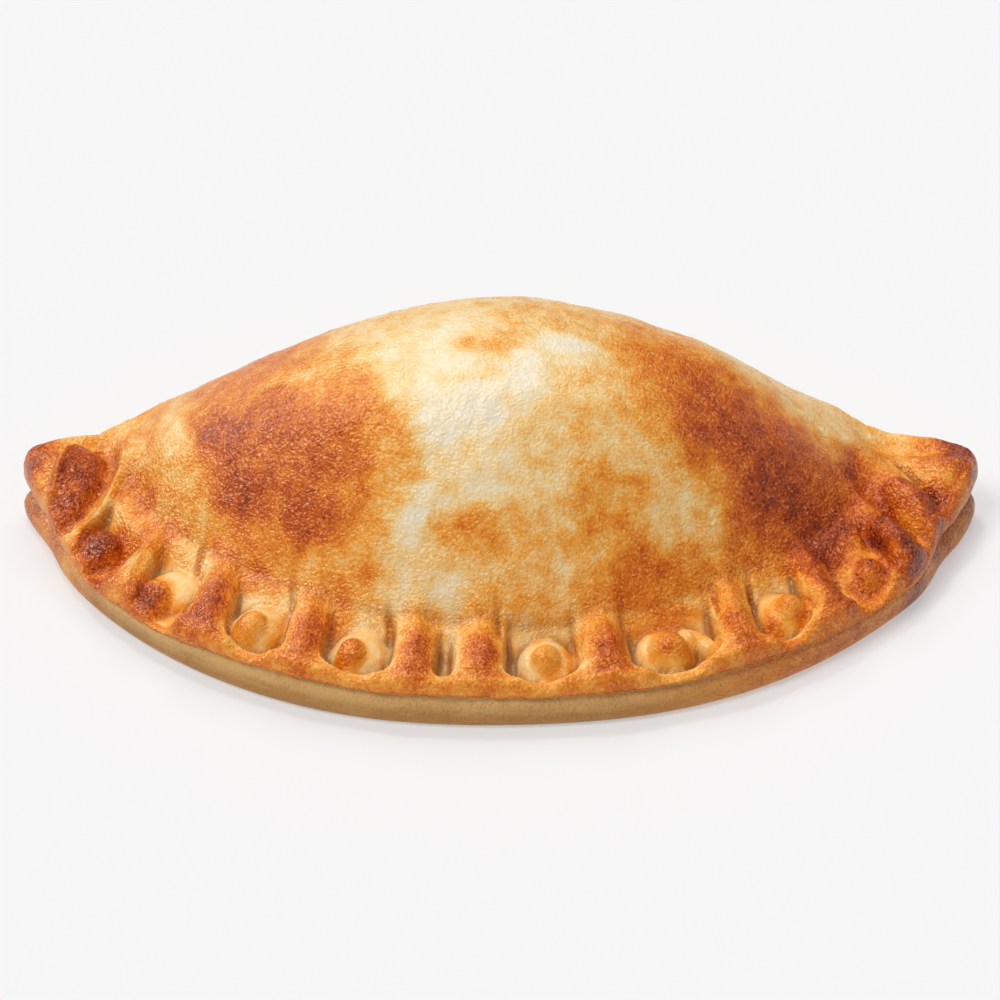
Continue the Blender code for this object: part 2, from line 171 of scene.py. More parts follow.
# Browning strokes laid over each other: the place across and up the front as seen from 35 degrees above,
# half sizes, the turn of the long side, how brown from 0 to 1, and how soft the edge is
STROKE_VIEW = 35
BASE_BROWNING = 0.36
Stroke = namedtuple("Stroke", "x up long wide turn brown soft")
STROKES = [
    # Broad washes and the left flank
    Stroke(-46, 23, 8.9, 13.3, -20, 0.52, 0.8),
    Stroke(-30, 4, 13.0, 4.9, -5, 0.44, 0.8),
    Stroke(37, 6.5, 8.0, 6.0, 10, 0.60, 0.8),
    Stroke(30, 7, 2.6, 8.0, 0, 0.32, 0.9),
    Stroke(-35, 33, 12.6, 2.4, 30, 0.66, 0.6),
    Stroke(-48, 22, 2.2, 5.5, 5, 0.22, 0.9),
    Stroke(-54, 14, 2.8, 3.6, 0, 0.68, 0.5),
    Stroke(-31, 34, 5.9, 1.8, 20, 0.62, 0.7),
    # The blotch on the left, with its dark spots
    Stroke(-27, 20, 19.0, 11.5, -5, 0.48, 0.6),
    Stroke(-30, 12.5, 10.0, 5.8, -8, 0.68, 0.6),
    Stroke(-28.8, 22.2, 15.4, 7.6, 5, 0.70, 0.30),
    Stroke(-19.6, 23.6, 3.2, 4.2, -15, 0.66, 0.6),
    Stroke(-22.5, 29.4, 6.5, 2.0, 12, 0.50, 0.8),
    Stroke(-41, 23, 3.5, 3.2, 30, 0.80, 0.8),
    Stroke(-38, 14, 3.7, 3.7, 0, 0.80, 0.6),
    Stroke(-28, 10, 4.0, 2.9, 10, 0.78, 0.8),
    Stroke(-15.6, 17.5, 3.4, 4.6, 0, 0.54, 0.8),
    # The pale middle and the orange spots in it
    Stroke(-9, 27, 6.0, 13.6, -10, 0.08, 0.8),
    Stroke(-17.2, 24.0, 2.6, 4.6, -10, 0.52, 0.8),
    Stroke(-20, 30.5, 4.8, 2.2, 10, 0.38, 0.9),
    Stroke(-5.8, 30.8, 2.6, 2.0, 0, 0.22, 0.9),
    Stroke(-2, 26, 3.7, 3.7, 0, 0.02, 0.9),
    Stroke(4, 31, 3.1, 4.3, -20, 0.04, 0.9),
    Stroke(10, 35, 3.5, 1.7, -10, 0.06, 0.9),
    Stroke(-15, 39, 13.1, 2.0, 12, 0.30, 0.8),
    Stroke(-3, 36, 3.2, 1.4, 0, 0.44, 0.8),
    Stroke(-20, 33, 2.9, 1.4, 20, 0.40, 0.8),
    Stroke(-15, 23, 3.1, 7.1, 0, 0.40, 0.8),
    Stroke(0, 16, 8.5, 4.8, 0, 0.33, 0.9),
    Stroke(-3, 14.2, 4.4, 2.4, 0, 0.22, 0.9),
    Stroke(0, 18.6, 3.2, 3.0, 0, 0.14, 0.9),
    Stroke(-4, 8.6, 4.6, 3.0, 0, 0.54, 0.9),
    Stroke(3, 7, 3.7, 3.4, 0, 0.46, 0.9),
    Stroke(9, 22, 8.5, 7.1, 0, 0.30, 0.9),
    Stroke(13, 22, 2.6, 4.3, -10, 0.36, 0.8),
    Stroke(16, 9.5, 5.0, 3.6, -20, 0.54, 0.9),
    Stroke(13, 14, 3.4, 4.0, 0, 0.44, 0.9),
    Stroke(20, 1.2, 4.6, 3.8, 0, 0.70, 0.7),
    Stroke(19.6, 4.4, 2.2, 2.6, 0, 0.66, 0.9),
    Stroke(24.6, 1.4, 3.0, 3.2, 0, 0.68, 0.8),
    Stroke(24, 14, 3.7, 3.4, 0, 0.28, 0.9),
    Stroke(5.6, 2, 3.2, 4.6, 0, 0.34, 0.9),
    Stroke(5.4, 7.0, 2.6, 2.0, 0, 0.44, 0.9),
    Stroke(-10, 0, 4.9, 3.7, 0, 0.22, 0.8),
    Stroke(-12, 10, 2.0, 4.8, -25, 0.14, 0.8),
    # The band on the right
    Stroke(22, 27, 4.6, 8.0, -10, 0.46, 0.9),
    Stroke(21, 35.4, 5.2, 3.0, -30, 0.46, 0.8),
    Stroke(33, 26, 15.6, 5.6, -38, 0.66, 0.6),
    Stroke(29.0, 20.6, 3.6, 4.4, -30, 0.62, 0.8),
    Stroke(17.6, 19.6, 2.8, 3.6, 0, 0.30, 0.9),
    Stroke(41, 17, 9.2, 7.2, -40, 0.76, 0.7),
    Stroke(37, 23, 9.2, 2.6, -38, 0.82, 0.9),
    Stroke(41, 13, 5.0, 3.8, 0, 0.88, 0.9),
    Stroke(52, 15, 5.6, 5.9, -50, 0.70, 0.7),
    Stroke(54, 18.4, 2.2, 2.2, 0, 0.84, 0.7),
    Stroke(45, 28, 13.5, 1.8, -32, 0.34, 0.8),
    # Touches over them all
    Stroke(-14.6, 31.6, 4.6, 6.0, -20, 0.22, 0.9),
    Stroke(16, 14, 5.5, 4.0, 0, 0.48, 0.9),
    Stroke(28.8, 3.6, 2.8, 3.2, 0, 0.54, 0.9),
    Stroke(45.6, 8.0, 2.2, 2.8, -20, 0.80, 0.8),
    Stroke(-40.5, 7.4, 2.8, 2.4, 0, 0.58, 0.9),
    Stroke(-34.6, 7.4, 5.2, 2.6, -8, 0.58, 0.8),
    Stroke(-46.4, 18.6, 2.0, 3.0, 0, 0.46, 0.9),
    Stroke(3, -1.6, 4.6, 3.2, 0, 0.46, 0.9),
    Stroke(-34.5, 1.6, 2.8, 2.2, 0, 0.58, 0.9),
    Stroke(-52, 7.4, 2.2, 2.4, 0, 0.60, 0.9),
    Stroke(-35, 2, 1.2, 1.2, 0, 0.68, 0.8),
    Stroke(-20, 3, 2.0, 1.7, 0, 0.54, 0.8),
    Stroke(-22.6, 31.0, 5.0, 3.0, 12, 0.40, 0.9),
    Stroke(-24.4, 29.4, 2.8, 2.2, 0, 0.54, 0.9),
    Stroke(-21.0, 26.4, 3.4, 3.4, 0, 0.62, 0.8),
    Stroke(-17.6, 24.4, 2.6, 3.8, -20, 0.55, 0.8),
    Stroke(-13.6, 18.0, 2.8, 3.0, 0, 0.46, 0.9),
    Stroke(29.4, 24.0, 4.0, 3.0, -38, 0.78, 0.8),
]

# The same for the crimping, placed by the angle along the rim and the distance in from it
RimStroke = namedtuple("RimStroke", "angle inset along across turn brown soft")
RIM_STROKES = [
    # The bars, from left to right
    RimStroke(-66.0, 9.0, 8.0, 4.6, -41, 0.56, 0.7),
    RimStroke(-58.5, 6.0, 3.2, 6.0, 0, 0.42, 0.8),
    RimStroke(-48.0, 6.0, 3.0, 6.0, 0, 0.48, 0.8),
    RimStroke(-37.0, 8.5, 3.6, 6.5, 0, 0.62, 0.7),
    RimStroke(-36.4, 4.6, 3.2, 3.8, 0, 0.80, 0.7),
    RimStroke(-23.6, 8.0, 3.4, 7.0, 0, 0.58, 0.7),
    RimStroke(-22.6, 5.0, 2.5, 4.4, 0, 0.76, 0.7),
    RimStroke(-10.2, 7.5, 3.2, 6.0, 0, 0.54, 0.7),
    RimStroke(-9.4, 4.8, 2.4, 4.0, 0, 0.74, 0.7),
    RimStroke(-2.4, 8.0, 3.0, 5.5, 0, 0.50, 0.7),
    RimStroke(-1.9, 5.0, 2.6, 3.8, 0, 0.76, 0.7),
    RimStroke(13.2, 8.0, 3.0, 7.0, 0, 0.58, 0.8),
    RimStroke(13.2, 4.4, 2.8, 3.4, 0, 0.76, 0.8),
    RimStroke(29.6, 9.0, 3.0, 7.0, 0, 0.56, 0.7),
    RimStroke(28.8, 4.2, 2.8, 3.6, 0, 0.72, 0.8),
    RimStroke(42.6, 7.0, 3.2, 7.0, 0, 0.68, 0.7),
    RimStroke(41.6, 3.4, 2.8, 3.0, 0, 0.76, 0.7),
    RimStroke(43.4, 3.8, 2.4, 2.4, 0, 0.84, 0.8),
    RimStroke(44.2, 10.4, 2.6, 3.2, 0, 0.84, 0.8),
    RimStroke(53.7, 4.4, 6.2, 3.6, 82, 0.92, 0.5),
    RimStroke(60.4, 4.8, 6.2, 3.4, 68, 0.70, 0.6),
    RimStroke(60.8, 3.2, 3.4, 2.2, 68, 0.94, 0.7),
    RimStroke(61.0, 8.8, 2.8, 2.8, 0, 0.72, 0.8),
    # The tips
    RimStroke(-71.0, 4.0, 4.6, 5.0, 0, 0.60, 0.9),
    RimStroke(-70.5, 1.8, 2.3, 2.1, 0, 0.84, 0.7),
    RimStroke(-74.0, 2.6, 2.4, 3.0, 0, 0.80, 0.9),
    RimStroke(71.0, 3.4, 4.6, 4.6, 0, 0.76, 0.9),
    RimStroke(73.0, 3.6, 3.6, 4.4, 0, 0.86, 0.9),
    RimStroke(70.0, 8.5, 4.0, 2.6, 0, 0.60, 0.8),
]

# And over the pockets' floors
KNOB_STROKES = [
    # The mounds and the knobs
    RimStroke(-65.2, 5.6, 7.6, 3.4, -41, 0.84, 0.4),
    RimStroke(-54.4, 5.2, 4.6, 5.0, 0, 0.54, 0.5),
    RimStroke(-55.8, 4.6, 3.5, 3.3, 0, 0.90, 0.6),
    RimStroke(-44.2, 2.8, 3.5, 3.0, 0, 0.80, 0.5),
    RimStroke(-30.4, 5.0, 2.7, 2.6, 0, 0.52, 0.4),
    RimStroke(-17.5, 4.8, 2.4, 2.3, 0, 0.62, 0.4),
    RimStroke(5.4, 5.4, 2.4, 2.2, 0, 0.52, 0.4),
    RimStroke(22.0, 10.0, 6.4, 3.6, 0, 0.42, 0.8),
    RimStroke(20.4, 6.2, 4.6, 4.4, 0, 0.34, 0.5),
    RimStroke(20.4, 5.2, 2.8, 2.7, 0, 0.60, 0.5),
    RimStroke(24.6, 5.6, 4.6, 1.9, -64, 0.42, 0.6),
    RimStroke(36.2, 6.2, 4.2, 4.2, 0, 0.36, 0.5),
    RimStroke(36.9, 5.1, 2.8, 2.7, 0, 0.56, 0.5),
    # Painted shade on the shaded right sides of two mounds, and the long knob at the right
    RimStroke(-27.2, 6.6, 1.4, 3.6, 0, 0.46, 0.8),
    RimStroke(8.8, 6.6, 1.4, 3.6, 0, 0.46, 0.8),
    RimStroke(48.0, 6.4, 4.6, 5.2, 0, 0.52, 0.35),
    RimStroke(47.8, 6.2, 4.2, 2.6, 66, 0.60, 0.4),
    RimStroke(46.6, 7.6, 1.6, 2.6, 0, 0.44, 0.8),
    RimStroke(48.6, 3.8, 2.6, 2.3, 0, 0.80, 0.4),
    # Touches beside them
    RimStroke(50.6, 12.2, 4.6, 2.6, 0, 0.86, 0.8),
    RimStroke(46.6, 10.6, 2.8, 3.2, 0, 0.90, 0.8),
    RimStroke(46.4, 2.6, 3.6, 1.6, 0, 0.64, 0.8),
    RimStroke(59.8, 7.6, 2.6, 2.6, 0, 0.78, 0.8),
    RimStroke(20.9, 12.0, 5.0, 2.4, 0, 0.56, 0.8),
    RimStroke(-21.0, 11.2, 1.8, 2.2, 0, 0.58, 0.8),
    RimStroke(-35.6, 1.8, 2.6, 1.6, 0, 0.80, 0.8),
    RimStroke(-39.4, 3.8, 1.8, 2.2, 0, 0.56, 0.8),
    RimStroke(33.4, 4.4, 1.4, 2.6, 0, 0.60, 0.9),
    RimStroke(63.6, 4.0, 3.0, 3.4, 0, 0.84, 0.8),
    RimStroke(66.4, 13.4, 4.0, 3.6, 0, 0.54, 0.8),
    RimStroke(-51.0, 1.0, 3.0, 1.8, 0, 0.78, 0.8),
    RimStroke(-50.5, 10.4, 3.0, 3.0, 0, 0.62, 0.8),
    RimStroke(-44.6, 5.6, 2.2, 1.6, 0, 0.54, 0.9),
]

# How brown the crimping's parts are; hollows browner, partly painted shade; edges paler, a painted
# highlight
LIP_BROWNING = 0.54
RIGHT_LIP_BROWNING = 0.62
POCKET_BROWNING = 0.31
CREASE_BROWNING = 0.62
SEAM_BROWNING = 0.66
HOLLOW_BROWNING_AND_SHADE = 0.08
PAINTED_EDGE_HIGHLIGHT = 0.09
HOLLOW_STEPS = 4
HOLLOW_DEPTH = 0.35

# In millimetres: the depths at which a pocket's own look starts and is full, and how far strokes wander
POCKET_LOOK = (0.5, 2.0)
STROKE_DRIFT = 1.2
STROKE_FRAY = 0.5
RIM_DRIFT_SHARE = 0.3

# The dough's own unevenness in millimetres, and how far in the fine mesh lies to stay inside the solid
BROAD_RISE = 0.22
BROAD_SIZE = 7
SMALL_RISE = 0.10
SMALL_SIZE = 1.6
INSET_OF_MESH = 0.22

# Base colours from unbrowned to very dark, as seen (sRGB, 0 to 255)
CRUST_COLOURS = [
    (0.00, (246, 236, 214)),
    (0.15, (251, 233, 195)),
    (0.30, (252, 210, 138)),
    (0.45, (248, 168, 62)),
    (0.60, (232, 124, 22)),
    (0.75, (200, 84, 8)),
    (0.90, (152, 48, 6)),
    (1.00, (100, 24, 10)),
]
RAW_DOUGH = (220, 174, 110)
# The lower layer's colour at its foot, darkened there as painted shade
RAW_FOOT_SHADE = (184, 130, 66)
# Painted glints on the blister tops: their colour and their largest share
PAINTED_GLINT_COLOUR = (255, 200, 146)
PAINTED_GLINT_SHARE = 0.2
# Painted shade for the crimping's hollows: the dull brown they are mixed towards, and how much
PAINTED_HOLLOW_SHADE_COLOUR = (136, 84, 46)
PAINTED_HOLLOW_SHADE_SHARE = 0.8

# Blisters, mottling and the lower layer's streaks: sizes in millimetres, and strengths
BLISTER_SIZE = 0.45
# How strongly the blisters are painted paler on top and browner between, as painted highlight and shade
BLISTER_SHADING_ON_PALE = 0.15
BLISTER_SHADING_ON_BROWN = 0.42
MOTTLE_SIZE = 2.6
MOTTLE_SHARE = 0.42
MOTTLE_BUMP = 1.2
STREAK_SIZE = 7
STREAK_FLATNESS = 6
STREAK_SHARE = 1.2
BUMP_DEPTH = 0.0004
SPECULAR_TINT = (1, 0.80, 0.58, 1)


def smooth(low, high, value):
    """0 below low, 1 above high and an S-shaped rise between."""
    t = np.clip((value - low) / (high - low), 0, 1)
    return t * t * (3 - 2 * t)


# The form, with the same functions as the solid's


def rim_radius(angle):
    """The rim's radius in the direction of that angle along the rim."""
    radius = RIM_RADIUS
    for flat in FLATS:
        radius = radius - flat.depth * np.exp(-(((angle - flat.angle) / flat.half_width) ** 2))
    return radius


def rim_polar(x, y):
    """The angle along the rim, and how far inside the rim the point lies."""
    angle = np.degrees(np.arctan2(x, RIM_CENTRE_Y - y))
    return angle, rim_radius(angle) - np.hypot(x, RIM_CENTRE_Y - y)


def circle_reach(direction, centre_y, radius):
    """From the middle of the body, how far the circle's line is in that direction."""
    offset = MIDDLE_Y - centre_y
    along = offset * np.sin(direction)
    return -along + np.sqrt(along**2 + radius**2 - offset**2)


def outline(direction):
    """The plan outline from the middle: the rim's circle and the fold's, rounded where they meet."""
    front = circle_reach(direction, RIM_CENTRE_Y, RIM_RADIUS)
    angle, _ = rim_polar(front * np.cos(direction), MIDDLE_Y + front * np.sin(direction))
    front = front - (RIM_RADIUS - rim_radius(angle))
    back = circle_reach(direction, FOLD_CENTRE_Y, FOLD_RADIUS)
    nearer = np.minimum(front, back)
    blend = (front / nearer) ** -TIP_SHARPNESS + (back / nearer) ** -TIP_SHARPNESS
    reach = nearer * blend ** (-1 / TIP_SHARPNESS)
    return reach * np.cos(direction), MIDDLE_Y + reach * np.sin(direction)


def outline_directions(longitude):
    """Directions from the middle, spaced so that the rim gets more of the longitudes than the fold."""
    direction = np.linspace(-pi, pi, 2001)
    x, y = outline(direction)
    density = 1 + (FRONT_DENSITY - 1) * smooth(25, 5, y)
    steps = np.hypot(np.diff(x), np.diff(y)) * (density[1:] + density[:-1]) / 2
    run = np.concatenate([[0], np.cumsum(steps)])
    return np.interp((longitude + pi) / (2 * pi), run / run[-1], direction)


def slab_top(x, y):
    """The top of the pressed dough: the lip's height at the rim, rising inwards and at the tips."""
    _, inset = rim_polar(x, y)
    rise = 0.16 * np.clip(inset - 2, 0, CRIMP_WIDTH)
    tip = smooth(44, 66, np.abs(x)) * smooth(2, 17, y)
    back = smooth(0.6 * CRIMP_WIDTH, 1.6 * CRIMP_WIDTH, inset)
    return LIP_HEIGHT + rise + TIP_RISE * np.maximum(tip, 0.8 * back)


def dome(x, y):
    """The filling's share of the height. Across, it runs from the crimping's inner edge to the fold."""
    inner = RIM_RADIUS - CRIMP_WIDTH + 2
    front_y = RIM_CENTRE_Y - np.sqrt(np.clip(inner**2 - x**2, 0, None))
    back_y = FOLD_CENTRE_Y + np.sqrt(FOLD_RADIUS**2 - x**2)
    across = np.clip((y - front_y) / np.maximum(back_y - front_y, 1), 0, 1)
    towards = np.clip(across / DOME_CREST, 0, 1)
    front = smooth(0, 0.35, across) ** 0.35 * (1 - (1 - towards) ** 2) ** DOME_FRONT_POWER
    beyond = np.clip((across - DOME_CREST) / (1 - DOME_CREST), 0, 1)
    back = np.sqrt(np.clip(1 - beyond**2, 0, 1))
    reach = np.where(x < 0, DOME_REACH_LEFT, DOME_REACH_RIGHT)
    ends = np.clip(1 - (x / reach) ** 2, 0, 1) ** DOME_END_POWER
    return ends * np.where(across < DOME_CREST, front, back)


def along_rim(angle, inset, feature_angle, lean):
    """The distance along the rim from a feature's middle line, which leans as it runs inwards."""
    return np.radians(angle - feature_angle) * (RIM_RADIUS - inset) - lean * (inset - 6)


def pocket_masks(angle, inset, pocket):
    """1 on the pocket's floor and 0 outside it, and 1 near the pocket and 0 half a bar's width away."""
    lean = np.clip(LEAN_PER_DEGREE * pocket.angle, -MOST_LEAN, MOST_LEAN)
    along = np.abs(along_rim(angle, inset, pocket.angle, lean))
    half = pocket.width / 2
    sides = smooth(half, half - 1.3, along)
    corner = pocket.outer + CORNER_ROUNDING * np.clip(along / half, 0, 1) ** 3
    outer = smooth(corner - 0.6, corner + 0.8, inset)
    inner = smooth(pocket.inner, pocket.inner - pocket.slope, inset)
    return sides * outer * inner, smooth(half + 2.8, half - 0.8, along)


def turned_ellipse(aside, inwards, feature):
    """How far out a place is in a feature's turned ellipse: 0 in its middle and 1 on its edge."""
    turn = radians(feature.turn)
    long_way = (aside * cos(turn) + inwards * sin(turn)) / feature.along
    short_way = (inwards * cos(turn) - aside * sin(turn)) / feature.across
    return np.hypot(long_way, short_way)


def lump_rise(angle, inset, lump):
    """The rise of a rounded lump over the floor of its pocket."""
    out = turned_ellipse(along_rim(angle, inset, lump.angle, 0), inset - lump.inset, lump)
    return lump.height * np.clip(1 - out**2, 0, 1) ** 0.6


def crease_depth(angle, inset, crease):
    """How deep a crease is, fading out at both its ends."""
    along = along_rim(angle, inset, crease.angle, crease.lean)
    ends = smooth(crease.start, crease.start + 3, inset) * smooth(crease.end, crease.end - 4, inset)
    return crease.depth * ends * np.exp(-((along / CREASE_HALF_WIDTH) ** 2))


def swelling_rise(x, y, swelling):
    """The rise of a soft swelling, or the dip of a hollow."""
    turn = radians(swelling.turn)
    along = (x - swelling.x) * cos(turn) + (y - swelling.y) * sin(turn)
    aside = (y - swelling.y) * cos(turn) - (x - swelling.x) * sin(turn)
    return swelling.height * np.exp(-((along / swelling.long) ** 2) - (aside / swelling.wide) ** 2)


def crimping(angle, inset):
    """Pocket depth, how near a pocket is, the rise of lumps and of knobs, and crease depth."""
    pressed = np.zeros_like(angle)
    near = np.zeros_like(angle)
    for pocket in POCKETS:
        floor, surround = pocket_masks(angle, inset, pocket)
        pressed = np.maximum(pressed, pocket.depth * floor)
        near = np.maximum(near, surround)
    lumps = np.zeros_like(angle)
    for lump in LUMPS:
        lumps = lumps + lump_rise(angle, inset, lump)
    knobs = np.zeros_like(angle)
    for lump in KNOBS:
        knobs = knobs + lump_rise(angle, inset, lump)
    creases = np.zeros_like(angle)
    for crease in CREASES:
        creases = np.maximum(creases, crease_depth(angle, inset, crease))
    return pressed, near, lumps, knobs, creases


def top_height(x, y):
    """The height of the upper surface: slab, dome, swellings and crimping."""
    height = slab_top(x, y) + (CROWN_HEIGHT - LIP_HEIGHT - TIP_RISE) * dome(x, y)
    for swelling in SWELLINGS:
        height = height + swelling_rise(x, y, swelling)
    angle, inset = rim_polar(x, y)
    pressed, near, lumps, knobs, creases = crimping(angle, inset)
    crimped = smooth(0.6, 3.4, inset) * smooth(17, 9, inset) * smooth(24, 14, y)
    pressed_top = height + BAR_RISE * crimped * (1 - near) - pressed - creases
    return np.where(knobs > 0, np.maximum(pressed_top, height - KNOB_SINK + knobs), pressed_top) + lumps


def rim_profile(share):
    """Outward offset and height up the two layers of the rim, for 0 at the foot to 1 on the lip."""
    lower = np.clip(share / 0.5, 0, 1)
    upper = np.clip((share - 0.5) / 0.5, 0, 1)
    lower_turn = np.radians(-90 + (90 + LOWER_TOP_TURN) * lower)
    upper_turn = np.radians(-UPPER_FOOT_TURN + (90 + UPPER_FOOT_TURN) * upper)
    lower_out = -FOOT_ROUNDING * (1 - np.cos(lower_turn) ** 0.75)
    lower_z = LOWER_LAYER / 2 * (1 + np.sin(lower_turn))
    half_lip = (LIP_HEIGHT - LOWER_LAYER + LAYER_OVERLAP) / 2
    upper_out = -LIP_ROUNDING * (1 - np.clip(np.cos(upper_turn), 0, 1) ** 0.8)
    upper_z = LIP_HEIGHT - half_lip * (1 - np.sin(upper_turn))
    return np.where(share < 0.5, lower_out, upper_out), np.where(share < 0.5, lower_z, upper_z)


def fold_profile(share):
    """The same for the fold at the back, which is one round edge; its height is a share of the whole."""
    turn = np.radians(-90 + (90 + FOLD_TOP_TURN) * share)
    return -FOLD_ROUNDING * (1 - np.cos(turn)), (1 + np.sin(turn)) / (1 + sin(radians(FOLD_TOP_TURN)))


def body_surface(direction, under, edge, over):
    """The surface in a direction, for shares of the way under, up the rim and over the top."""
    rim_x, rim_y = outline(direction)
    ahead_x, ahead_y = outline(direction + 1e-4)
    stride = np.hypot(ahead_x - rim_x, ahead_y - rim_y)
    out_x, out_y = (ahead_y - rim_y) / stride, (rim_x - ahead_x) / stride

    at_fold = smooth(14, 26, rim_y) * smooth(70, 58, np.abs(rim_x))
    rim_out, rim_z = rim_profile(edge)
    filled = SEAM_FILLING * smooth(38, 50, np.abs(rim_x)) * smooth(67, 60, np.abs(rim_x))
    opened = TIP_SEAM_DEPTH * smooth(62, 71, np.abs(rim_x))
    rim_out = rim_out + (filled - opened) * np.exp(-(((edge - 0.5) / SEAM_HEIGHT) ** 2))
    fold_out, fold_z = fold_profile(edge)
    offset = rim_out + at_fold * (fold_out - rim_out)

    start_x, start_y = rim_x + offset * out_x, rim_y + offset * out_y
    inwards = np.where(over > 0, over, 1 - under)
    spine = 0.55 * (1 - inwards**3)
    x = start_x * (1 - inwards + inwards * spine)
    y = start_y * (1 - inwards) + MIDDLE_Y * inwards

    lip_offset = rim_profile(1.0)[0] + at_fold * (fold_profile(1.0)[0] - rim_profile(1.0)[0])
    lip_top = top_height(rim_x + lip_offset * out_x, rim_y + lip_offset * out_y)
    rim_z = rim_z + smooth(0.5, 1.0, edge) * (lip_top - LIP_HEIGHT)
    side_z = rim_z + at_fold * (fold_z * lip_top - rim_z)
    z = np.where(over > 0, top_height(x, y), np.where(under < 1, 0, side_z))
    return x, y, z


# The fine mesh


def ring_shares():
    """For each ring of the mesh, its shares of the way under, up the rim and over the top."""
    under = np.linspace(0.2, 1, UNDER_RINGS, endpoint=False)
    edge = np.linspace(0, 1, EDGE_RINGS)
    crimp = np.linspace(0, CRIMP_SHARE, CRIMP_RINGS + 1)[1:]
    crown = np.linspace(CRIMP_SHARE, 1, DOME_RINGS + 1)[1:-1]
    over = np.concatenate([crimp, crown])
    return (
        np.concatenate([under, np.ones(len(edge) + len(over))]),
        np.concatenate([np.zeros(len(under)), edge, np.ones(len(over))]),
        np.concatenate([np.zeros(len(under) + len(edge)), over]),
    )


def make_body():
    """The mesh of rings, closed by one point under the middle and one on top."""
    longitude = np.linspace(-pi, pi, AROUND, endpoint=False)
    direction = outline_directions(longitude)
    under, edge, over = ring_shares()
    rings = len(under)
    grid = np.broadcast_arrays(direction[None, :], under[:, None], edge[:, None], over[:, None])
    x, y, z = body_surface(*grid)
    points = np.stack([x, y, z], axis=-1).reshape(-1, 3)
    _, _, top = body_surface(np.zeros(1), np.ones(1), np.ones(1), np.ones(1))
    points = np.vstack([points, [[0, MIDDLE_Y, 0], [0, MIDDLE_Y, top[0]]]])

    first = np.arange(AROUND)
    after = (first + 1) % AROUND
    rows = np.arange(rings - 1)[:, None] * AROUND
    quads = np.stack([rows + first, rows + after, rows + AROUND + after, rows + AROUND + first], axis=-1)
    faces = quads.reshape(-1, 4).tolist()
    bottom, summit, last = rings * AROUND, rings * AROUND + 1, (rings - 1) * AROUND
    faces += [(int(b), int(a), bottom) for a, b in zip(first, after)]
    faces += [(int(last + a), int(last + b), summit) for a, b in zip(first, after)]

    mesh = bpy.data.meshes.new("baked_empanada")
    mesh.from_pydata((points * MILLIMETRE).tolist(), [], faces)
    mesh.shade_smooth()
    body = bpy.data.objects.new("baked_empanada", mesh)
    bpy.context.scene.collection.objects.link(body)
    return body, points, np.append(np.repeat(edge, AROUND), [0, 1])


def noise_at(points, size, depth=1, seed=0):
    """Smooth noise from about -1 to 1 at each point, with bumps of about that size in millimetres."""
    shift = Vector((seed * 17.3, seed * 5.1, seed * 9.7))
    step = 1 / size
    values = [noise.fractal(Vector(p) * step + shift, 0.6, 2.0, depth) for p in points.tolist()]
    return np.array(values)


def roughen(body, points):
    """Moves the points in and out by the dough's own unevenness, except at the foot."""
    count = len(points)
    normals = np.empty(count * 3)
    body.data.vertices.foreach_get("normal", normals)
    normals = normals.reshape(-1, 3)
    above_foot = smooth(0.3, 3.0, points[:, 2])
    broad = BROAD_RISE * noise_at(points, BROAD_SIZE, 2, 1)
    small = SMALL_RISE * noise_at(points, SMALL_SIZE, 2, 2)
    rise = above_foot * (broad + small - INSET_OF_MESH)
    moved = points + normals * rise[:, None]
    moved[:, 2] = np.clip(moved[:, 2], 0, None)
    body.data.vertices.foreach_set("co", (moved * MILLIMETRE).ravel())
    body.data.update()


# Browning


def paint(level, out, brown, soft):
    """Lays one stroke over the browning, full inside its ellipse and fading across its edge."""
    cover = smooth(1 + 0.9 * soft, 1 - 0.9 * soft, out)
    return level + (brown - level) * cover


def paint_rim(level, angle, inset, strokes):
    """Lays strokes that are placed along the rim."""
    for stroke in strokes:
        out = turned_ellipse(along_rim(angle, inset, stroke.angle, 0), inset - stroke.inset, stroke)
        level = paint(level, out, stroke.brown, stroke.soft)
    return level


def hollowness(points):
    """How far each point lies below its surroundings, in shares of HOLLOW_DEPTH, negative on edges."""
    height = points[:-2, 2].reshape(-1, AROUND)
    mean = height
    for _ in range(HOLLOW_STEPS):
        mean = (np.roll(mean, 1, axis=1) + mean + np.roll(mean, -1, axis=1)) / 3
        mean[1:-1] = (mean[:-2] + mean[1:-1] + mean[2:]) / 3
    return np.append((mean - height).ravel(), [0, 0]) / HOLLOW_DEPTH


def stroke_drift(points, seed):
    """How far the strokes wander from their places, with fraying edges."""
    return STROKE_DRIFT * noise_at(points, 9, 2, seed) + STROKE_FRAY * noise_at(points, 2.5, 2, seed + 1)


